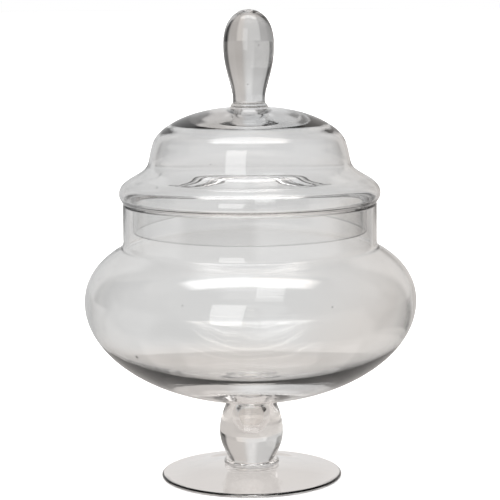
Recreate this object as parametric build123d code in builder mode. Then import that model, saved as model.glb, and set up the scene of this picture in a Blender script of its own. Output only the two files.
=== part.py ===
from build123d import *
import os
from math import atan2, cos, degrees, radians, sin

# Mouth-blown glass apothecary jar: a squat bellied bowl on a barrel stem and a round foot,
# with a domed lid that drops into the neck and a solid drop for a finial.
# Millimetres, +Z up, origin on the jar's axis in the plane that the foot stands on.
# Every piece is turned about the same axis, so each profile is drawn as (radius, height).

# ---------------------------------------------------------------- driving sizes
# foot: a disc of even thickness, domed on top and hollowed below
foot_radius = 59.9
foot_edge_thickness = 2.4
foot_height = 8.0           # height of the flat spot at its centre that the wafer sits on
foot_hollow_depth = 5.2     # how far the underside rises at the centre
foot_ring_width = 2.0       # flat ring that the jar stands on

# wafer of glass between the foot and the stem
foot_wafer_radius = 18.4
foot_wafer_thickness = 3.6

# stem: a barrel with a bubble of air closed inside its upper half
stem_height = 42.2
stem_foot_radius = 15.0
stem_barrel_radius = 21.2
stem_barrel_height = 19.6   # height of the barrel's widest point above the stem's foot
stem_neck_radius = 16.6
stem_neck_drop = 2.6        # how far below the bowl the stem is narrowest
stem_head_radius = 18.3     # where the stem flares out into the underside of the bowl
bubble_radius = 8.6
bubble_height = 22.0
bubble_cover = 2.2          # glass between the bubble and the bowl
bubble_belly_share = 0.46   # how far up the bubble its widest point is

# bowl: one blown piece, thick at the bottom and thin at the belly and neck
bowl_radius = 109.7
bowl_drop = 65.2            # from the flat spot under the bowl up to its widest point
shoulder_height = 41.9      # from the widest point up to the foot of the neck
neck_radius = 83.55
neck_height = 22.9
bowl_base_thickness = 11.3
belly_wall = 2.2
neck_wall = 2.4
lip_round = 0.75            # fire-polished edges of the neck

# lid: one blown shell, thick under the finial, with a hollow rolled rim and a collar that
# drops into the neck
collar_clearance = 3.9      # between the collar and the inside of the neck
collar_wall = 2.2
collar_depth = 18.4         # how far the collar hangs below the seat
rim_overhang = 2.5          # how far the rolled rim stands out past the neck
rim_rise = 6.4              # from the seat up to the rim's widest line
flare_rise = 11.9           # from there up to where the flare is flattest
cove_rise = 21.4            # from there up to the shoulder of the dome
crown_rise = 22.5           # from there up to the flat spot on top of the dome
dome_radius = 63.4
lid_wall = 2.2
crown_wall = 8.0            # at the axis, where the finial's weight is carried
crown_flat_radius = 8.0     # of the flat underneath
crown_swell_wall = 2.6      # where the dome starts to thicken
crown_swell_share = 0.65    # of the way from the crown out to the dome's shoulder

# wafer between the dome and the finial, and the finial itself
finial_wafer_radius = 12.3  # at the wafer's waist
finial_wafer_spread = 14.0  # where it flares out on the dome
finial_wafer_thickness = 2.9
finial_height = 61.1
finial_radius = 16.7
finial_base_radius = 11.2
finial_neck_radius = 10.7
finial_neck_rise = 3.6      # height of the narrowest point above the finial's base
finial_belly_drop = 22.9    # from the top of the finial down to its widest line

# ---------------------------------------------------------------- heights, from the foot up
foot_top = foot_height
stem_base = foot_top + foot_wafer_thickness
bowl_base = stem_base + stem_height
bowl_belly = bowl_base + bowl_drop
neck_base = bowl_belly + shoulder_height
seat = neck_base + neck_height
rim_line = seat + rim_rise
flare_line = rim_line + flare_rise
shoulder_line = flare_line + cove_rise
crown = shoulder_line + crown_rise
finial_base = crown + finial_wafer_thickness
finial_top = finial_base + finial_height

# ---------------------------------------------------------------- radii that follow others
neck_bore_radius = neck_radius - neck_wall
collar_radius = neck_bore_radius - collar_clearance
collar_bore_radius = collar_radius - collar_wall
rim_radius = neck_radius + rim_overhang

# shares that place the points where a curve turns from round to hollow
shoulder_share = 0.26       # of the step from the neck out to the belly
flare_share = 0.512         # of the step from the dome out to the rim

# directions of travel, in degrees from straight outwards
OUT, UP, IN, DOWN = 0, 90, 180, -90
shoulder_turn = 146
dome_turn = -71.5
flare_turn = -30.5
seat_turn = -125
quarter = 0.39              # pull of a curve's end that turns like a quarter of a circle


def toward(point, angle, distance):
    """The point that lies a distance away in a direction."""
    return Vector(point) + Vector(distance * cos(radians(angle)), distance * sin(radians(angle)))


def pulled(start, leave, finish, arrive, pull_out=quarter, pull_in=quarter):
    """The four points of a smooth curve that leaves and arrives in given directions."""
    span = (Vector(finish) - Vector(start)).length
    return (
        Vector(start),
        toward(start, leave, pull_out * span),
        toward(finish, arrive, -pull_in * span),
        Vector(finish),
    )


def flow(*course, **pulls):
    """A smooth curve, like glass drawn from one place to another."""
    return Bezier(*pulled(*course, **pulls))


def along(points, share):
    """The point a share of the way along a curve, and the direction of travel there."""
    a, b, c, d = points
    rest = 1 - share
    place = a * rest**3 + b * (3 * rest * rest * share) + c * (3 * rest * share * share) + d * share**3
    run = (b - a) * (rest * rest) + (c - b) * (2 * rest * share) + (d - c) * (share * share)
    return place, degrees(atan2(run.Y, run.X))


def inside(point, travel, wall):
    """The point of the inner face opposite an outer one, for a curve that runs in a direction."""
    return toward(point, travel + UP, wall)


# ---------------------------------------------------------------- foot
foot_ring_outer = foot_radius - foot_edge_thickness / 2
foot_ring_inner = foot_ring_outer - foot_ring_width
foot_pad_radius = foot_wafer_radius
foot_slope = 9              # rise of the top near the edge, in degrees

with BuildPart() as foot:
    with BuildSketch(Plane.XZ):
        with BuildLine():
            under = Line((0, foot_hollow_depth), (foot_pad_radius, foot_hollow_depth))
            hollow = flow(under @ 1, -foot_slope / 2, (foot_ring_inner, 0), -foot_slope / 2)
            ring = Line(hollow @ 1, (foot_ring_outer, 0))
            edge = ThreePointArc(
                ring @ 1,
                (foot_radius, foot_edge_thickness / 2),
                (foot_ring_outer, foot_edge_thickness),
            )
            top = flow(edge @ 1, IN - foot_slope / 2, (foot_pad_radius, foot_height), IN - foot_slope / 2)
            pad = Line(top @ 1, (0, foot_height))
            Line(pad @ 1, under @ 0)
        make_face()
    revolve(axis=Axis.Z)

# ---------------------------------------------------------------- wafers
def bead(radius, thickness, base):
    """Outline of a flattened bead of glass: a round edge between the flat faces that are fused."""
    flat = radius - thickness / 2
    lower = Line((0, base), (flat, base))
    edge = ThreePointArc(lower @ 1, (radius, base + thickness / 2), (flat, base + thickness))
    upper = Line(edge @ 1, (0, base + thickness))
    Line(upper @ 1, lower @ 0)


with BuildPart() as foot_wafer:
    with BuildSketch(Plane.XZ):
        with BuildLine():
            bead(foot_wafer_radius, foot_wafer_thickness, foot_top)
        make_face()
    revolve(axis=Axis.Z)

finial_waist = (finial_wafer_radius, crown + 0.45 * finial_wafer_thickness)
wafer_foot_turn = 160       # the wafer draws in over the dome
wafer_head_turn = 135       # and again into the root of the finial

with BuildPart() as finial_wafer:
    with BuildSketch(Plane.XZ):
        with BuildLine():
            on_dome = Line((0, crown), (finial_wafer_spread, crown))
            skirt = flow(on_dome @ 1, wafer_foot_turn, finial_waist, UP)
            collar_of_wafer = flow(skirt @ 1, UP, (finial_base_radius, finial_base), wafer_head_turn)
            under_finial = Line(collar_of_wafer @ 1, (0, finial_base))
            Line(under_finial @ 1, on_dome @ 0)
        make_face()
    revolve(axis=Axis.Z)

# ---------------------------------------------------------------- stem
stem_belly = stem_base + stem_barrel_height
stem_neck = bowl_base - stem_neck_drop
bubble_top = bowl_base - bubble_cover
bubble_bottom = bubble_top - bubble_height
bubble_belly = bubble_bottom + bubble_belly_share * bubble_height
stem_foot_turn = 64         # the barrel leaves its foot leaning outwards
stem_head_turn = 37         # the stem meets the bowl flaring outwards

with BuildPart() as stem:
    with BuildSketch(Plane.XZ):
        with BuildLine():
            bed = Line((0, stem_base), (stem_foot_radius, stem_base))
            low = flow(bed @ 1, stem_foot_turn, (stem_barrel_radius, stem_belly), UP)
            high = flow(low @ 1, UP, (stem_neck_radius, stem_neck), UP, pull_out=0.45, pull_in=0.12)
            flare = flow(high @ 1, UP, (stem_head_radius, bowl_base), stem_head_turn)
            head = Line(flare @ 1, (0, bowl_base))
            Line(head @ 1, bed @ 0)
        make_face()
    revolve(axis=Axis.Z)
    with BuildSketch(Plane.XZ):
        with BuildLine():
            lower = flow((0, bubble_bottom), OUT, (bubble_radius, bubble_belly), UP)
            upper = flow(lower @ 1, UP, (0, bubble_top), IN)
            Line(upper @ 1, lower @ 0)
        make_face()
    revolve(axis=Axis.Z, mode=Mode.SUBTRACT)

# ---------------------------------------------------------------- bowl
bowl_pad_radius = stem_head_radius
shoulder_radius = neck_radius + shoulder_share * (bowl_radius - neck_radius)
shoulder_drop = 9.3         # from the foot of the neck down to where the shoulder is flattest
belly_out = (bowl_radius, bowl_belly)
belly_in = inside(belly_out, UP, belly_wall)
shoulder_out = (shoulder_radius, neck_base - shoulder_drop)
shoulder_in = inside(shoulder_out, shoulder_turn, belly_wall)
base_in = (0, bowl_base + bowl_base_thickness)

with BuildPart() as bowl:
    with BuildSketch(Plane.XZ):
        with BuildLine():
            seat_pad = Line((0, bowl_base), (bowl_pad_radius, bowl_base))
            under_belly = flow(seat_pad @ 1, 4, belly_out, UP, pull_in=0.32)
            over_belly = flow(under_belly @ 1, UP, shoulder_out, shoulder_turn, pull_out=0.36)
            into_neck = flow(
                over_belly @ 1, shoulder_turn, (neck_radius, neck_base), UP, pull_out=0.6, pull_in=0.54
            )
            neck_out = Line(into_neck @ 1, (neck_radius, seat - lip_round))
            lip_out = RadiusArc(neck_out @ 1, (neck_radius - lip_round, seat), lip_round, short_sagitta=True)
            lip = Line(lip_out @ 1, (neck_bore_radius + lip_round, seat))
            lip_in = RadiusArc(lip @ 1, (neck_bore_radius, seat - lip_round), lip_round, short_sagitta=True)
            neck_in = Line(lip_in @ 1, (neck_bore_radius, neck_base))
            from_neck = flow(neck_in @ 1, DOWN, shoulder_in, shoulder_turn + IN, pull_out=0.54, pull_in=0.6)
            inner_shoulder = flow(from_neck @ 1, shoulder_turn + IN, belly_in, DOWN, pull_in=0.36)
            inner_belly = flow(inner_shoulder @ 1, DOWN, base_in, IN, pull_out=0.34, pull_in=0.52)
            Line(inner_belly @ 1, seat_pad @ 0)
        make_face()
    revolve(axis=Axis.Z)

# ---------------------------------------------------------------- lid
crown_pad_radius = finial_wafer_spread
flare_radius = dome_radius + flare_share * (rim_radius - dome_radius)
collar_end = seat - collar_depth
collar_fillet = 1.6         # outer corner between the collar and the seat
bore_corner = 0.5           # inner corner between the collar and the hollow rim
seat_radius = neck_radius - lip_round
dome_out = (dome_radius, shoulder_line)
flare_out = (flare_radius, flare_line)
rim_out = (rim_radius, rim_line)
dome_in = inside(dome_out, dome_turn + IN, lid_wall)
flare_in = inside(flare_out, flare_turn + IN, lid_wall)
rim_in = inside(rim_out, UP, lid_wall)
roll_in = (collar_radius + collar_fillet, seat + lid_wall)
crown_in = (crown_flat_radius, crown - crown_wall)
dome_course = pulled((crown_pad_radius, crown), OUT, dome_out, dome_turn, 0.34, 0.25)
swell_out, swell_turn = along(dome_course, crown_swell_share)
swell_in = inside(swell_out, swell_turn + IN, crown_swell_wall)

with BuildPart() as lid:
    with BuildSketch(Plane.XZ):
        with BuildLine():
            crown_pad = Line((0, crown), (crown_pad_radius, crown))
            dome = Bezier(*dome_course)
            cove = flow(dome @ 1, dome_turn, flare_out, flare_turn, pull_out=0.57, pull_in=0.54)
            roll = flow(cove @ 1, flare_turn, rim_out, DOWN, pull_out=0.25, pull_in=0.4)
            under_rim = flow(roll @ 1, DOWN, (seat_radius, seat), seat_turn, pull_out=0.3, pull_in=0.3)
            rest = Line(under_rim @ 1, (collar_radius + collar_fillet, seat))
            corner = RadiusArc(rest @ 1, (collar_radius, seat - collar_fillet), -collar_fillet)
            collar_out = Line(corner @ 1, (collar_radius, collar_end + collar_wall / 2))
            collar_tip = ThreePointArc(
                collar_out @ 1,
                (collar_radius - collar_wall / 2, collar_end),
                (collar_bore_radius, collar_end + collar_wall / 2),
            )
            collar_in = Line(collar_tip @ 1, (collar_bore_radius, seat + lid_wall - bore_corner))
            turn_out = RadiusArc(
                collar_in @ 1, (collar_bore_radius + bore_corner, seat + lid_wall), bore_corner, short_sagitta=True
            )
            rim_floor = Line(turn_out @ 1, roll_in)
            inner_roll = flow(rim_floor @ 1, OUT, rim_in, UP)
            inner_flare = flow(inner_roll @ 1, UP, flare_in, flare_turn + IN, pull_out=0.4, pull_in=0.25)
            inner_cove = flow(inner_flare @ 1, flare_turn + IN, dome_in, dome_turn + IN, 0.54, 0.57)
            inner_dome = flow(inner_cove @ 1, dome_turn + IN, swell_in, swell_turn + IN)
            swell = flow(inner_dome @ 1, swell_turn + IN, crown_in, IN, 0.25, 0.3)
            inner_crown = Line(swell @ 1, (0, crown - crown_wall))
            Line(inner_crown @ 1, crown_pad @ 0)
        make_face()
    revolve(axis=Axis.Z)

# ---------------------------------------------------------------- finial
finial_neck = finial_base + finial_neck_rise
finial_belly = finial_top - finial_belly_drop
finial_root_turn = 125      # the glass draws in as it leaves the wafer

with BuildPart() as finial:
    with BuildSketch(Plane.XZ):
        with BuildLine():
            root = Line((0, finial_base), (finial_base_radius, finial_base))
            draw = flow(root @ 1, finial_root_turn, (finial_neck_radius, finial_neck), UP)
            drop = flow(draw @ 1, UP, (finial_radius, finial_belly), UP, pull_out=0.22, pull_in=0.48)
            cap = flow(drop @ 1, UP, (0, finial_top), IN, pull_out=0.54, pull_in=0.334)
            Line(cap @ 1, root @ 0)
        make_face()
    revolve(axis=Axis.Z)

# ---------------------------------------------------------------- files
os.makedirs("parts", exist_ok=True)
pieces = {
    "foot": foot,
    "foot_wafer": foot_wafer,
    "stem": stem,
    "bowl": bowl,
    "lid": lid,
    "finial_wafer": finial_wafer,
    "finial": finial,
}
for name, piece in pieces.items():
    piece.part.label = name
    export_step(piece.part, f"parts/{name}.step")
    print(f"{name}: {piece.part.volume / 1000:.1f} cm3, valid {piece.part.is_valid}")
print(f"height {finial_top:.1f}, widest {2 * bowl_radius:.1f}")
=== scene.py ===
from math import atan2, cos, degrees, hypot, pi, radians, sin

import bpy
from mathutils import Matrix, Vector


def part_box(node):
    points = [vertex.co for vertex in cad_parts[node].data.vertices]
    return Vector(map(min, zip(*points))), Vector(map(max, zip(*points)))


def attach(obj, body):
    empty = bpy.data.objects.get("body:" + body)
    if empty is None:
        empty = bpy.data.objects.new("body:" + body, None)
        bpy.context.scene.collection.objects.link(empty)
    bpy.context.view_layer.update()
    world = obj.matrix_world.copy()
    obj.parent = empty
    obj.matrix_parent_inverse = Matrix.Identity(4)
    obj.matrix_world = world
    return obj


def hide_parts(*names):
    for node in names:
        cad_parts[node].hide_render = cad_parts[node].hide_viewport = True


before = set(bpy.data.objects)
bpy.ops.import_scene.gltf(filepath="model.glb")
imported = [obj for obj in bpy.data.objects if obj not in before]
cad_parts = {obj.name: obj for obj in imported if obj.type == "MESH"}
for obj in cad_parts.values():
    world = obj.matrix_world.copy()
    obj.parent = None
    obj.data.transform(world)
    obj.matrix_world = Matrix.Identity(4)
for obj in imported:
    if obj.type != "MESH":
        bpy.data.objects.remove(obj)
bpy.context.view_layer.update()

# A mouth-blown glass apothecary jar: foot, stem and bowl are one loose piece of glass, the lid with
# its finial is the other. Sizes are in millimetres, and MM makes them metres. An outline is drawn
# in the half plane beside the axis, stroke by stroke, and a turn is the direction of travel there
# in degrees: OUT leads away from the axis and UP towards the finial.
MM = 0.001
OUT, UP, IN, DOWN = 0, 90, 180, -90
ROUND = 0.39            # pull of a stroke's end that turns like a quarter of a circle
TURN_STEPS = 224        # facets round a wide piece
SLIM_STEPS = 160         # facets round a slim piece
STROKE_STEPS = 26        # facets along one stroke of an outline
CRISP_ANGLE = 40        # an edge that turns by more than this stays crisp
WELD = 1e-6             # points closer than this become one (metres)
STRAIGHT = 1e-6         # a stroke that bends by less than this is straight

# ---------------------------------------------------------------- sizes of the jar
foot_radius = 59.9
foot_edge = 2.4
foot_hollow = 5.2
foot_ring = 2.0
foot_slope = 9
foot_wafer_radius = 18.4
wafer_margin = 0.5      # between the last ring in the wafer's underside and its rounded edge
stem_foot_radius = 15.0
stem_foot_turn = 64
stem_barrel_radius = 21.2
stem_barrel_height = 19.6
stem_neck_radius = 16.6
stem_neck_drop = 2.6
stem_head_radius = 18.3
stem_head_turn = 37
bubble_radius = 8.6
bubble_height = 22.0
bubble_cover = 2.2      # glass between the bubble and the bowl
bubble_belly_share = 0.46
bowl_radius = 109.67    # a hair under the CAD's, so that the finer facets stay inside its box
bowl_drop = 65.2
bowl_bottom_turn = 4
shoulder_height = 41.9
shoulder_share = 0.26   # how far out from neck to belly the shoulder is drawn through
shoulder_drop = 9.3     # and how far under the neck
shoulder_turn = 146
neck_radius = 83.55
base_thickness = 11.3
belly_wall = 2.2
neck_wall = 2.4
lip_round = 0.75
collar_clearance = 3.9
collar_wall = 2.2
collar_depth = 18.4
collar_fillet = 1.6
rim_overhang = 2.5
rim_rise = 6.4
rim_turn = -125         # where the rim curls in to its seat on the lip
flange_fillet = 0.5
flare_rise = 11.9
flare_share = 0.512     # how far out from dome to rim the flare is drawn through
flare_turn = -30.5
cove_rise = 21.4
dome_radius = 63.4
dome_turn = -71.5
lid_wall = 2.2
crown_wall = 8
crown_swell = 0.65      # how far along the dome's top its wall swells
crown_swell_wall = 2.6
crown_flat = 8.0
finial_wafer_radius = 12.3
finial_wafer_spread = 14.0
finial_wafer_waist = 0.45
finial_wafer_turns = (160, 135)     # at its bottom and its top
finial_radius = 16.7
finial_base_radius = 11.2
finial_base_turn = 125
finial_neck_radius = 10.7
finial_neck_rise = 3.6
finial_belly_drop = 22.9


def level(node, end):
    """Height of a node's bottom (0) or top (1), in millimetres, from the frame."""
    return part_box(node)[end].z / MM


foot_top = level("foot", 1)
stem_base = level("foot_wafer", 1)
bowl_base = level("stem", 1)
seat = level("bowl", 1)
crown = level("finial_wafer", 0)
finial_base = level("finial_wafer", 1)
finial_top = level("finial", 1)
bowl_belly = bowl_base + bowl_drop
neck_base = bowl_belly + shoulder_height
rim_line = seat + rim_rise
flare_line = rim_line + flare_rise
shoulder_line = flare_line + cove_rise
foot_ring_outer = foot_radius - foot_edge / 2
foot_ring_inner = foot_ring_outer - foot_ring
foot_wafer_flat = foot_wafer_radius - (stem_base - foot_top) / 2


# ---------------------------------------------------------------- drawing an outline
def toward(point, angle, distance):
    return (point[0] + distance * cos(radians(angle)), point[1] + distance * sin(radians(angle)))


def flow(start, leave, finish, arrive, pull_out=ROUND, pull_in=ROUND):
    """A smooth stroke that leaves and arrives in given directions."""
    span = hypot(finish[0] - start[0], finish[1] - start[1])
    near = toward(start, leave, pull_out * span)
    far = toward(finish, arrive, -pull_in * span)
    return (start, near, far, finish)


def line(start, finish):
    """A straight stroke."""
    near = tuple(start[i] + (finish[i] - start[i]) / 3 for i in (0, 1))
    far = tuple(start[i] + (finish[i] - start[i]) * 2 / 3 for i in (0, 1))
    return (start, near, far, finish)


def inside(point, travel, wall):
    """The point of the inner face opposite an outer one."""
    return toward(point, travel + UP, wall)


def along(stroke, share):
    """The point a share of the way along a stroke, and the direction of travel there."""
    left = 1 - share
    pulls = (left ** 3, 3 * left * left * share, 3 * left * share * share, share ** 3)
    leans = (left * left, 2 * left * share, share * share)
    point = tuple(sum(pull * corner[i] for pull, corner in zip(pulls, stroke)) for i in (0, 1))
    run = [sum(lean * (after[i] - before[i])
               for lean, before, after in zip(leans, stroke, stroke[1:])) for i in (0, 1)]
    return point, degrees(atan2(run[1], run[0]))


def is_straight(stroke):
    (x, z), *handles, (end_x, end_z) = stroke
    bends = [abs((end_x - x) * (far_z - z) - (end_z - z) * (far_x - x)) for far_x, far_z in handles]
    return sum(bends) < STRAIGHT


# ---------------------------------------------------------------- turning a piece
def select_none():
    bpy.ops.object.select_all(action="DESELECT")


def set_out(point):
    """Where a point of an outline lies in the scene."""
    return Vector((point[0], 0, point[1])) * MM


def draw(strokes):
    """Draws an outline as a curve and makes it a wire, with no spare points where straight."""
    select_none()
    bpy.ops.curve.primitive_bezier_curve_add(location=(0, 0, 0))
    curve = bpy.context.object
    curve.data.resolution_u = STROKE_STEPS
    spline = curve.data.splines[0]
    spline.resolution_u = STROKE_STEPS
    spline.bezier_points.add(len(strokes) - 1)
    corners = [strokes[0][0]] + [stroke[3] for stroke in strokes]
    for i, point in enumerate(spline.bezier_points):
        point.handle_left_type = point.handle_right_type = "FREE"
        point.co = set_out(corners[i])
        point.handle_left = set_out(strokes[i - 1][2] if i else corners[i])
        point.handle_right = set_out(strokes[i][1] if i < len(strokes) else corners[i])
    bpy.ops.object.convert(target="MESH")
    wire = bpy.context.object
    bpy.ops.object.mode_set(mode="EDIT")
    bpy.ops.mesh.select_mode(type="VERT")
    bpy.ops.mesh.select_all(action="DESELECT")
    bpy.ops.object.mode_set(mode="OBJECT")
    for k, stroke in enumerate(strokes):
        if is_straight(stroke):
            for j in range(k * STROKE_STEPS + 1, (k + 1) * STROKE_STEPS):
                wire.data.vertices[j].select = True
    bpy.ops.object.mode_set(mode="EDIT")
    bpy.ops.mesh.dissolve_verts()
    bpy.ops.object.mode_set(mode="OBJECT")
    return wire


def turn_piece(name, strokes, steps):
    """Spins an outline about the jar's axis into a closed shell."""
    piece = draw(strokes)
    piece.name = piece.data.name = name
    bpy.ops.object.mode_set(mode="EDIT")
    bpy.ops.mesh.select_all(action="SELECT")
    bpy.ops.mesh.spin(steps=steps, angle=2 * pi, center=(0, 0, 0), axis=(0, 0, 1))
    bpy.ops.mesh.select_all(action="SELECT")
    bpy.ops.mesh.remove_doubles(threshold=WELD)
    bpy.ops.mesh.normals_make_consistent(inside=False)
    bpy.ops.object.mode_set(mode="OBJECT")
    bpy.ops.object.shade_smooth_by_angle(angle=radians(CRISP_ANGLE))
    return piece


def sink(shell, piece):
    """Makes a closed shell an air space in a piece, its faces turned to look into the air."""
    bpy.ops.object.mode_set(mode="EDIT")
    bpy.ops.mesh.select_all(action="SELECT")
    bpy.ops.mesh.normals_make_consistent(inside=True)
    bpy.ops.object.mode_set(mode="OBJECT")
    select_none()
    shell.select_set(True)
    piece.select_set(True)
    bpy.context.view_layer.objects.active = piece
    bpy.ops.object.join()


def seed(piece, turn, reach, height, tilt, length, thickness):
    """A small flat bubble caught in the glass."""
    select_none()
    bpy.ops.mesh.primitive_uv_sphere_add(segments=24, ring_count=12, radius=MM, location=(0, 0, 0))
    bubble = bpy.context.object
    bpy.ops.object.shade_smooth()
    bubble.scale = (thickness, length, length)
    bubble.rotation_euler = (0, radians(tilt), radians(turn))
    bubble.location = Vector((reach * cos(radians(turn)), reach * sin(radians(turn)), height)) * MM
    bpy.ops.object.transform_apply(location=True, rotation=True, scale=True)
    sink(bubble, piece)


# ---------------------------------------------------------------- outlines
def foot_outline():
    half = foot_edge / 2
    tip = (foot_radius, half)
    hollow_edge = (foot_wafer_radius, foot_hollow)
    return [
        line((0, foot_hollow), hollow_edge),
        flow(hollow_edge, -foot_slope / 2, (foot_ring_inner, 0), -foot_slope / 2),
        line((foot_ring_inner, 0), (foot_ring_outer, 0)),
        flow((foot_ring_outer, 0), OUT, tip, UP),
        flow(tip, UP, (foot_ring_outer, foot_edge), IN),
        flow((foot_ring_outer, foot_edge), IN - foot_slope / 2,
             (foot_wafer_radius, foot_top), IN - foot_slope / 2),
        line((foot_wafer_radius, foot_top), (foot_wafer_flat, foot_top)),
        line((foot_wafer_flat, foot_top), (0, foot_top)),
    ]


def foot_wafer_outline():
    """A bead of glass, with a ring in its top where the stem is fused on."""
    half = (stem_base - foot_top) / 2
    under = foot_wafer_flat - wafer_margin
    return [
        line((0, foot_top), (under, foot_top)),
        line((under, foot_top), (foot_wafer_flat, foot_top)),
        flow((foot_wafer_flat, foot_top), OUT, (foot_wafer_radius, foot_top + half), UP),
        flow((foot_wafer_radius, foot_top + half), UP, (foot_wafer_flat, stem_base), IN),
        line((foot_wafer_flat, stem_base), (stem_foot_radius, stem_base)),
        line((stem_foot_radius, stem_base), (0, stem_base)),
    ]


def stem_outline():
    belly = (stem_barrel_radius, stem_base + stem_barrel_height)
    neck = (stem_neck_radius, bowl_base - stem_neck_drop)
    return [
        line((0, stem_base), (stem_foot_radius, stem_base)),
        flow((stem_foot_radius, stem_base), stem_foot_turn, belly, UP),
        flow(belly, UP, neck, UP, pull_out=0.45, pull_in=0.12),
        flow(neck, UP, (stem_head_radius, bowl_base), stem_head_turn),
        line((stem_head_radius, bowl_base), (0, bowl_base)),
    ]


def bubble_outline():
    top = bowl_base - bubble_cover
    bottom = top - bubble_height
    belly = (bubble_radius, bottom + bubble_belly_share * bubble_height)
    return [
        flow((0, bottom), OUT, belly, UP),
        flow(belly, UP, (0, top), IN),
    ]


def bowl_outline():
    belly_out = (bowl_radius, bowl_belly)
    belly_in = inside(belly_out, UP, belly_wall)
    shoulder_out = (neck_radius + shoulder_share * (bowl_radius - neck_radius),
                    neck_base - shoulder_drop)
    shoulder_in = inside(shoulder_out, shoulder_turn, belly_wall)
    bore = neck_radius - neck_wall
    lip_edge = seat - lip_round
    return [
        line((0, bowl_base), (stem_head_radius, bowl_base)),
        flow((stem_head_radius, bowl_base), bowl_bottom_turn, belly_out, UP, pull_in=0.32),
        flow(belly_out, UP, shoulder_out, shoulder_turn, pull_out=0.36),
        flow(shoulder_out, shoulder_turn, (neck_radius, neck_base), UP, pull_out=0.6, pull_in=0.54),
        line((neck_radius, neck_base), (neck_radius, lip_edge)),
        flow((neck_radius, lip_edge), UP, (neck_radius - lip_round, seat), IN),
        line((neck_radius - lip_round, seat), (bore + lip_round, seat)),
        flow((bore + lip_round, seat), IN, (bore, lip_edge), DOWN),
        line((bore, lip_edge), (bore, neck_base)),
        flow((bore, neck_base), DOWN, shoulder_in, shoulder_turn + IN, pull_out=0.54, pull_in=0.6),
        flow(shoulder_in, shoulder_turn + IN, belly_in, DOWN, pull_in=0.36),
        flow(belly_in, DOWN, (0, bowl_base + base_thickness), IN, pull_out=0.34, pull_in=0.52),
    ]


def lid_outline():
    rim_radius = neck_radius + rim_overhang
    collar = neck_radius - neck_wall - collar_clearance
    bore = collar - collar_wall
    collar_end = seat - collar_depth
    collar_round = collar_wall / 2
    collar_tip = collar_end + collar_round
    flange = seat + lid_wall
    under = crown - crown_wall
    rest = (neck_radius - lip_round, seat)
    dome_out = (dome_radius, shoulder_line)
    flare_out = (dome_radius + flare_share * (rim_radius - dome_radius), flare_line)
    rim_out = (rim_radius, rim_line)
    dome_in = inside(dome_out, dome_turn + IN, lid_wall)
    flare_in = inside(flare_out, flare_turn + IN, lid_wall)
    rim_in = inside(rim_out, UP, lid_wall)
    roll_in = (collar + collar_fillet, flange)
    top = flow((finial_wafer_spread, crown), OUT, dome_out, dome_turn, pull_out=0.34, pull_in=0.25)
    swell_out, swell_turn = along(top, crown_swell)
    swell_in = inside(swell_out, swell_turn + IN, crown_swell_wall)
    return [
        line((0, crown), (finial_wafer_spread, crown)),
        top,
        flow(dome_out, dome_turn, flare_out, flare_turn, pull_out=0.57, pull_in=0.54),
        flow(flare_out, flare_turn, rim_out, DOWN, pull_out=0.25, pull_in=0.4),
        flow(rim_out, DOWN, rest, rim_turn, pull_out=0.3, pull_in=0.3),
        line(rest, (collar + collar_fillet, seat)),
        flow((collar + collar_fillet, seat), IN, (collar, seat - collar_fillet), DOWN),
        line((collar, seat - collar_fillet), (collar, collar_tip)),
        flow((collar, collar_tip), DOWN, (collar - collar_round, collar_end), IN),
        flow((collar - collar_round, collar_end), IN, (bore, collar_tip), UP),
        line((bore, collar_tip), (bore, flange - flange_fillet)),
        flow((bore, flange - flange_fillet), UP, (bore + flange_fillet, flange), OUT),
        line((bore + flange_fillet, flange), roll_in),
        flow(roll_in, OUT, rim_in, UP),
        flow(rim_in, UP, flare_in, flare_turn + IN, pull_out=0.4, pull_in=0.25),
        flow(flare_in, flare_turn + IN, dome_in, dome_turn + IN, pull_out=0.54, pull_in=0.57),
        flow(dome_in, dome_turn + IN, swell_in, swell_turn + IN),
        flow(swell_in, swell_turn + IN, (crown_flat, under), IN, pull_out=0.25, pull_in=0.3),
        line((crown_flat, under), (0, under)),
    ]


def finial_wafer_outline():
    low_turn, high_turn = finial_wafer_turns
    waist = (finial_wafer_radius, crown + finial_wafer_waist * (finial_base - crown))
    return [
        line((0, crown), (finial_wafer_spread, crown)),
        flow((finial_wafer_spread, crown), low_turn, waist, UP),
        flow(waist, UP, (finial_base_radius, finial_base), high_turn),
        line((finial_base_radius, finial_base), (0, finial_base)),
    ]


def finial_outline():
    neck = (finial_neck_radius, finial_base + finial_neck_rise)
    belly = (finial_radius, finial_top - finial_belly_drop)
    return [
        line((0, finial_base), (finial_base_radius, finial_base)),
        flow((finial_base_radius, finial_base), finial_base_turn, neck, UP),
        flow(neck, UP, belly, UP, pull_out=0.22, pull_in=0.48),
        flow(belly, UP, (0, finial_top), IN, pull_out=0.54, pull_in=0.334),
    ]


# ---------------------------------------------------------------- materials
REFRACTION = 1.5
# the thicker the glass, the more of its colour shows: height and colour, from foot to finial
GLASS_TINTS = [
    (stem_base, (0.975, 0.965, 0.96)),
    (stem_base + 4, (0.96, 0.945, 0.93)),
    (bowl_base - 2, (0.93, 0.915, 0.90)),
    (bowl_base, (0.68, 0.66, 0.64)),
    (bowl_base + 9, (0.76, 0.74, 0.72)),
    (bowl_base + 24, (0.975, 0.975, 0.97)),
    (crown - 12, (0.98, 0.98, 0.98)),
    (crown - 6, (0.90, 0.91, 0.92)),
    (finial_base + 12, (0.93, 0.925, 0.92)),
    (finial_base + 30, (0.77, 0.76, 0.75)),
]
MARK_SCALE, MARK_DETAIL, MARK_SWIRL = 14.0, 4.0, 0.6        # where handling has dulled the polish
MARK_RANGE, MARK_ROUGHNESS = (0.46, 0.74), (0.0, 0.06)
WAVE_SCALE, WAVE_DETAIL = 38.0, 1.0                         # the waviness of blown glass
WAVE_STRENGTH, WAVE_DEPTH = 0.35, 0.0004


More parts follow.
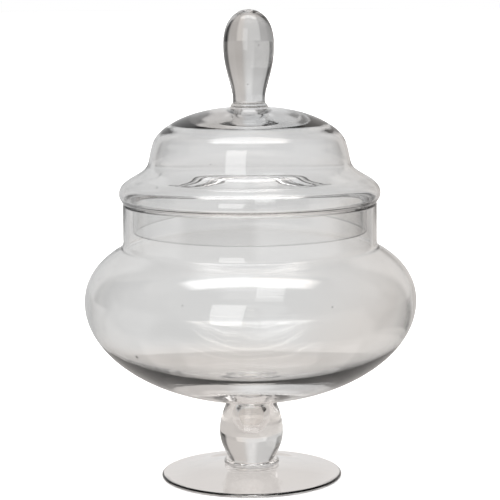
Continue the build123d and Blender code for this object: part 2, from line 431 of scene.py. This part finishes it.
def clear_glass():
    """Clear blown glass: a tint that deepens where it is thick, uneven polish and waviness."""
    mat = bpy.data.materials.new("clear_glass")
    mat.use_nodes = True
    nodes, links = mat.node_tree.nodes, mat.node_tree.links
    glass = nodes["Principled BSDF"]
    glass.inputs["Transmission Weight"].default_value = 1.0
    glass.inputs["IOR"].default_value = REFRACTION
    coords = nodes.new("ShaderNodeTexCoord")

    # the tint, by height
    axes = nodes.new("ShaderNodeSeparateXYZ")
    links.new(coords.outputs["Object"], axes.inputs[0])
    share = nodes.new("ShaderNodeMath")
    share.operation = "DIVIDE"
    share.inputs[1].default_value = finial_top * MM
    links.new(axes.outputs["Z"], share.inputs[0])
    tint = nodes.new("ShaderNodeValToRGB")
    links.new(share.outputs[0], tint.inputs["Fac"])
    ramp = tint.color_ramp.elements
    while len(ramp) < len(GLASS_TINTS):
        ramp.new(0.5)
    for stop, (height, colour) in zip(ramp, GLASS_TINTS):
        stop.position = height / finial_top
        stop.color = (*colour, 1)
    links.new(tint.outputs["Color"], glass.inputs["Base Color"])

    # uneven polish
    marks = nodes.new("ShaderNodeTexNoise")
    marks.inputs["Scale"].default_value = MARK_SCALE
    marks.inputs["Detail"].default_value = MARK_DETAIL
    marks.inputs["Distortion"].default_value = MARK_SWIRL
    links.new(coords.outputs["Object"], marks.inputs["Vector"])
    polish = nodes.new("ShaderNodeMapRange")
    links.new(marks.outputs["Fac"], polish.inputs["Value"])
    polish.inputs["From Min"].default_value = MARK_RANGE[0]
    polish.inputs["From Max"].default_value = MARK_RANGE[1]
    polish.inputs["To Min"].default_value = MARK_ROUGHNESS[0]
    polish.inputs["To Max"].default_value = MARK_ROUGHNESS[1]
    links.new(polish.outputs["Result"], glass.inputs["Roughness"])

    # waviness
    wave = nodes.new("ShaderNodeTexNoise")
    wave.inputs["Scale"].default_value = WAVE_SCALE
    wave.inputs["Detail"].default_value = WAVE_DETAIL
    links.new(coords.outputs["Object"], wave.inputs["Vector"])
    bump = nodes.new("ShaderNodeBump")
    bump.inputs["Strength"].default_value = WAVE_STRENGTH
    bump.inputs["Distance"].default_value = WAVE_DEPTH
    links.new(wave.outputs["Fac"], bump.inputs["Height"])
    links.new(bump.outputs["Normal"], glass.inputs["Normal"])
    return mat


def fused_joint():
    """Where two pieces of hot glass have become one: nothing to see, light goes straight on."""
    mat = bpy.data.materials.new("fused_joint")
    mat.use_nodes = True
    nodes, links = mat.node_tree.nodes, mat.node_tree.links
    nodes.remove(nodes["Principled BSDF"])
    through = nodes.new("ShaderNodeBsdfTransparent")
    links.new(through.outputs["BSDF"], nodes["Material Output"].inputs["Surface"])
    return mat


GLASS = clear_glass()
JOINT = fused_joint()
GLASS_SLOT, JOINT_SLOT = 0, 1
LEVEL_FACE = 0.999      # a face whose normal stands at least this upright is level
SAME_HEIGHT = 0.01


def dress(piece, joints):
    """Gives a piece its glass, and its fused faces the joint: the height and radius of each."""
    piece.data.materials.append(GLASS)
    piece.data.materials.append(JOINT)
    for face in piece.data.polygons:
        middle = face.center / MM
        reach = hypot(middle.x, middle.y)
        fused = abs(face.normal.z) >= LEVEL_FACE and any(
            abs(middle.z - height) < SAME_HEIGHT and reach < radius for height, radius in joints)
        face.material_index = JOINT_SLOT if fused else GLASS_SLOT


def place(piece, node, body):
    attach(piece, body)
    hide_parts(node)


# ---------------------------------------------------------------- the jar
# each seed: angle round the jar, distance from the axis, height, how far its face leans down, half
# length and half thickness
BOWL_SEEDS = [
    (-134.5, 101.6, 95.5, 32, 1.1, 0.52),
    (-62, 106.8, 130, -35, 0.45, 0.4),
    (-28, 82.35, 171, 0, 0.4, 0.35),
    (25, 101.4, 140, -48, 0.5, 0.4),
    (78, 82.35, 163, 0, 0.45, 0.35),
    (118, 104.3, 100, 30, 0.5, 0.35),
    (166, 106.8, 130, -35, 0.6, 0.4),
]
LID_SEEDS = [
    (-112, 64.5, 215, -12, 0.45, 0.35),
    (12, 61.6, 225, -22, 0.4, 0.35),
    (140, 83.2, 195, -20, 0.5, 0.4),
]
FINIAL_SEEDS = [
    (-40, 6.5, 287, 0, 0.35, 0.35),
    (95, 5, 263, 0, 0.3, 0.3),
]

foot = turn_piece("foot_glass", foot_outline(), TURN_STEPS)
dress(foot, [(foot_top, foot_wafer_flat)])
place(foot, "foot", "jar")

foot_wafer = turn_piece("foot_wafer_glass", foot_wafer_outline(), SLIM_STEPS)
dress(foot_wafer, [(foot_top, foot_wafer_flat), (stem_base, stem_foot_radius)])
place(foot_wafer, "foot_wafer", "jar")

stem = turn_piece("stem_glass", stem_outline(), SLIM_STEPS)
sink(turn_piece("bubble", bubble_outline(), SLIM_STEPS), stem)
dress(stem, [(stem_base, stem_foot_radius), (bowl_base, stem_head_radius)])
place(stem, "stem", "jar")

bowl = turn_piece("bowl_glass", bowl_outline(), TURN_STEPS)
for mark in BOWL_SEEDS:
    seed(bowl, *mark)
dress(bowl, [(bowl_base, stem_head_radius)])
place(bowl, "bowl", "jar")

lid = turn_piece("lid_glass", lid_outline(), TURN_STEPS)
for mark in LID_SEEDS:
    seed(lid, *mark)
dress(lid, [(crown, finial_wafer_spread)])
place(lid, "lid", "lid")

finial_wafer = turn_piece("finial_wafer_glass", finial_wafer_outline(), SLIM_STEPS)
dress(finial_wafer, [(crown, finial_wafer_spread), (finial_base, finial_base_radius)])
place(finial_wafer, "finial_wafer", "lid")

finial = turn_piece("finial_glass", finial_outline(), SLIM_STEPS)
for mark in FINIAL_SEEDS:
    seed(finial, *mark)
dress(finial, [(finial_base, finial_base_radius)])
place(finial, "finial", "lid")


# ---------------------------------------------------------------- studio
# The studio's lengths are in metres. An azimuth is counted in degrees from straight behind the jar,
# with + to the right.
DISC_SIDES = 128
FLOOR_RADIUS = 12.0
FLOOR_COLOUR = (0.9, 0.9, 0.9, 1)
FLOOR_ROUGHNESS = 0.9
TABLE_RADIUS = 3.0
TABLE_DROP = 0.0003     # under the floor, so that the two never meet
# each patch of the lit table: azimuth, half width, from and to (distance from the axis), light
TABLE_PATCHES = [
    (0, 190, -1.0, 0.10, 0.76),
    (0, 190, -1.0, 0.34, 0.62),
    (180, 75, 0.105, 0.26, 1.1),
    (180, 45, 0.105, 0.26, 1.7),
    (0, 22, 0.26, 3.2, 0.785),
    (0, 42, 0.26, 3.2, 0.56),
    (-45, 24, 0.26, 3.2, 0.5),
    (-92, 24, 0.3, 3.2, 0.55),
    (135, 40, 0.3, 3.2, 0.55),
]
PATCH_SOFTNESS = (6, 0.02)          # of its sides in degrees, and of its ends
# each panel round the jar: azimuth, half width, elevation, half height, softness, light
PANELS = [
    (0, 44, 2, 40, 6, 0.60),
    (0, 16, -4, 34, 16, 0.77),
    (-92, 24, -2, 12, 8, 0.5),
    (135, 40, -2, 14, 8, 0.55),
    (180, 30, 60, 10, 8, 0.8),
]
ROOM_LIGHT = 0.12
BACKDROP_LIGHT = 1.0                # what the camera sees past the jar
WHITE_LIGHT = (1, 1, 1, 1)
WARM_LIGHT = (1.0, 0.955, 0.92, 1)
WARM_AZIMUTH, WARM_HALF, WARM_SOFTNESS = 60, 52, 6
WARM_TABLE, WARM_TABLE_SOFTNESS = 0.3, 0.1      # the table is warm all round as far as this
CEILING_RISE = (60, 74)             # elevations between which the overhead light comes up
CEILING_LIGHT = 1.4
STRIP_LIGHT = 5.0                   # the long softbox over the jar
STRIP_HALF = (0.52, 0.16)           # its half length and half width, for each metre above
STRIP_SOFTNESS = (0.12, 0.05)
STRIP_SHIFT = -0.06                 # towards the camera
STRIP_LOWEST = 0.05                 # keeps the strip's sums clear of the horizon


class NodeTool:
    """Short ways to wire number nodes."""

    def __init__(self, nodes, links):
        self.nodes, self.links = nodes, links

    def math(self, operation, *values):
        node = self.nodes.new("ShaderNodeMath")
        node.operation = operation
        for socket, value in zip(node.inputs, values):
            if isinstance(value, (int, float)):
                socket.default_value = value
            else:
                self.links.new(value, socket)
        return node.outputs[0]

    def window(self, value, half, soft):
        """1 inside the half width, 0 outside it, with a soft edge."""
        node = self.nodes.new("ShaderNodeMapRange")
        node.interpolation_type = "SMOOTHSTEP"
        self.links.new(value, node.inputs["Value"])
        node.inputs["From Min"].default_value = half + soft
        node.inputs["From Max"].default_value = half - soft
        return node.outputs["Result"]

    def apart(self, value, middle):
        """How far a value is from the middle, either way."""
        return self.math("ABSOLUTE", self.math("SUBTRACT", value, middle))

    def aside(self, azimuth, middle):
        """How far round the jar an azimuth is from the middle, either way."""
        turn = self.math("SUBTRACT", azimuth, radians(middle))
        return self.math("ABSOLUTE", self.math("WRAP", turn, pi, -pi))

    def warm_side(self, azimuth):
        """1 towards the warm right-hand side of the room, 0 elsewhere."""
        away = self.aside(azimuth, WARM_AZIMUTH)
        return self.window(away, radians(WARM_HALF), radians(WARM_SOFTNESS))

    def shade(self, warm):
        """White light, or the room's warm light where warm is 1."""
        node = self.nodes.new("ShaderNodeMix")
        node.data_type = "RGBA"
        self.links.new(warm, node.inputs[0])
        node.inputs[6].default_value = WHITE_LIGHT
        node.inputs[7].default_value = WARM_LIGHT
        return node.outputs[2]


def disc(name, radius, height):
    select_none()
    bpy.ops.mesh.primitive_circle_add(vertices=DISC_SIDES, radius=radius, fill_type="NGON",
                                      location=(0, 0, height))
    obj = bpy.context.object
    obj.name = name
    return obj


def floor():
    """A plain pale floor. Only the camera and the room's soft light meet it, and not the glass."""
    obj = disc("floor", FLOOR_RADIUS, 0)
    mat = bpy.data.materials.new("pale_floor")
    mat.use_nodes = True
    shader = mat.node_tree.nodes["Principled BSDF"]
    shader.inputs["Base Color"].default_value = FLOOR_COLOUR
    shader.inputs["Roughness"].default_value = FLOOR_ROUGHNESS
    shader.inputs["Specular IOR Level"].default_value = 0.0
    obj.data.materials.append(mat)
    obj.visible_transmission = False
    obj.visible_glossy = False


def light_table():
    """The lit table top that the glass looks down into, brightest close in front of the jar."""
    obj = disc("light_table", TABLE_RADIUS, -TABLE_DROP)
    mat = bpy.data.materials.new("lit_table")
    mat.use_nodes = True
    mat.cycles.emission_sampling = "NONE"
    nodes, links = mat.node_tree.nodes, mat.node_tree.links
    nodes.remove(nodes["Principled BSDF"])
    tool = NodeTool(nodes, links)
    math, window = tool.math, tool.window
    coords = nodes.new("ShaderNodeTexCoord")
    axes = nodes.new("ShaderNodeSeparateXYZ")
    links.new(coords.outputs["Object"], axes.inputs[0])
    x, y = axes.outputs["X"], axes.outputs["Y"]
    reach = math("SQRT", math("ADD", math("MULTIPLY", x, x), math("MULTIPLY", y, y)))
    azimuth = math("ARCTAN2", x, y)
    side_softness, end_softness = PATCH_SOFTNESS
    light = 0.0
    for middle, half_width, near, far, strength in TABLE_PATCHES:
        sides = window(tool.aside(azimuth, middle), radians(half_width), radians(side_softness))
        ends = window(tool.apart(reach, (near + far) / 2), (far - near) / 2, end_softness)
        patch = math("MULTIPLY", math("MULTIPLY", sides, ends), strength)
        light = math("MAXIMUM", light, patch)
    near_jar = window(reach, WARM_TABLE, WARM_TABLE_SOFTNESS)
    warm = math("MAXIMUM", near_jar, tool.warm_side(azimuth))
    glow = nodes.new("ShaderNodeEmission")
    links.new(tool.shade(warm), glow.inputs["Color"])
    links.new(light, glow.inputs["Strength"])
    links.new(glow.outputs["Emission"], nodes["Material Output"].inputs["Surface"])
    obj.data.materials.append(mat)
    obj.visible_camera = False
    obj.visible_diffuse = False
    obj.visible_shadow = False


def studio_world():
    """The room: soft panels round the jar, light overhead, and plain white for the camera."""
    world = bpy.data.worlds.new("studio")
    bpy.context.scene.world = world
    world.use_nodes = True
    nodes, links = world.node_tree.nodes, world.node_tree.links
    back = nodes["Background"]
    tool = NodeTool(nodes, links)
    math, window = tool.math, tool.window
    coords = nodes.new("ShaderNodeTexCoord")
    axes = nodes.new("ShaderNodeSeparateXYZ")
    links.new(coords.outputs["Generated"], axes.inputs[0])
    azimuth = math("ARCTAN2", axes.outputs["X"], axes.outputs["Y"])
    elevation = math("ARCSINE", axes.outputs["Z"])
    light = ROOM_LIGHT
    for middle, half_width, rise, half_height, softness, strength in PANELS:
        soft = radians(softness)
        sides = window(tool.aside(azimuth, middle), radians(half_width), soft)
        ends = window(tool.apart(elevation, radians(rise)), radians(half_height), soft)
        panel = math("MULTIPLY", math("MULTIPLY", sides, ends), strength)
        light = math("MAXIMUM", light, panel)

    # soft light overhead, and the long softbox in it
    above = nodes.new("ShaderNodeMapRange")
    above.interpolation_type = "SMOOTHSTEP"
    links.new(elevation, above.inputs["Value"])
    above.inputs["From Min"].default_value = radians(CEILING_RISE[0])
    above.inputs["From Max"].default_value = radians(CEILING_RISE[1])
    above.inputs["To Max"].default_value = CEILING_LIGHT
    light = math("MAXIMUM", light, above.outputs["Result"])
    height = math("MAXIMUM", axes.outputs["Z"], STRIP_LOWEST)
    along_strip = math("ABSOLUTE", math("DIVIDE", axes.outputs["X"], height))
    across_strip = tool.apart(math("DIVIDE", axes.outputs["Y"], height), STRIP_SHIFT)
    strip = math("MULTIPLY", window(along_strip, STRIP_HALF[0], STRIP_SOFTNESS[0]),
                 window(across_strip, STRIP_HALF[1], STRIP_SOFTNESS[1]))
    light = math("MAXIMUM", light, math("MULTIPLY", strip, STRIP_LIGHT))

    # the camera itself sees a plain white backdrop in place of all this
    camera_ray = nodes.new("ShaderNodeLightPath").outputs["Is Camera Ray"]
    seen = nodes.new("ShaderNodeMix")
    seen.data_type = "FLOAT"
    links.new(camera_ray, seen.inputs[0])
    links.new(light, seen.inputs[2])
    seen.inputs[3].default_value = BACKDROP_LIGHT
    links.new(seen.outputs[0], back.inputs["Strength"])
    warm = math("MULTIPLY", tool.warm_side(azimuth), math("SUBTRACT", 1.0, camera_ray))
    links.new(tool.shade(warm), back.inputs["Color"])


def hang_lamp(name, kind, energy):
    lamp = bpy.data.objects.new(name, bpy.data.lights.new(name, kind))
    lamp.data.energy = energy
    bpy.context.scene.collection.objects.link(lamp)
    return lamp


BOUNCE_STRENGTH = 5.5
BOUNCE_SPREAD = 150
SOFTBOX_WATTS = 8
SOFTBOX_SIZE = (0.8, 1.6)
SOFTBOX_SPOT, SOFTBOX_AIM = Vector((-0.55, -1.9, 0.75)), Vector((0, 0, 0.15))
SENSOR_WIDTH = 36
FOCAL_SHARE = 1995 / 500            # focal length for each width of the frame
CAMERA_SPOT = (0.0013, -1.303, 0.342)
CAMERA_DOWN, CAMERA_LEAN = 8.29, 0.42           # degrees below level, and to the side

floor()
light_table()
studio_world()

# light that the ceiling throws back on the floor, not seen in the glass
bounce = hang_lamp("ceiling_bounce", "SUN", BOUNCE_STRENGTH)
bounce.data.angle = radians(BOUNCE_SPREAD)
bounce.visible_glossy = False
bounce.visible_transmission = False

softbox = hang_lamp("front_left", "AREA", SOFTBOX_WATTS)
softbox.data.shape = "RECTANGLE"
softbox.data.size, softbox.data.size_y = SOFTBOX_SIZE
softbox.location = SOFTBOX_SPOT
softbox.rotation_euler = (SOFTBOX_AIM - SOFTBOX_SPOT).to_track_quat("-Z", "Y").to_euler()

camera = bpy.data.objects.new("camera", bpy.data.cameras.new("camera"))
camera.data.lens = FOCAL_SHARE * SENSOR_WIDTH
camera.data.sensor_width = SENSOR_WIDTH
bpy.context.scene.collection.objects.link(camera)
camera.location = CAMERA_SPOT
camera.rotation_euler = (radians(90 - CAMERA_DOWN), radians(CAMERA_LEAN), 0)
bpy.context.scene.camera = camera

# light passes through many walls of glass, so it is followed a long way
scene = bpy.context.scene
scene.view_settings.view_transform = "Standard"
scene.cycles.max_bounces = 40
scene.cycles.transmission_bounces = 40
scene.cycles.glossy_bounces = 10
scene.cycles.transparent_max_bounces = 32
scene.cycles.blur_glossy = 0.0
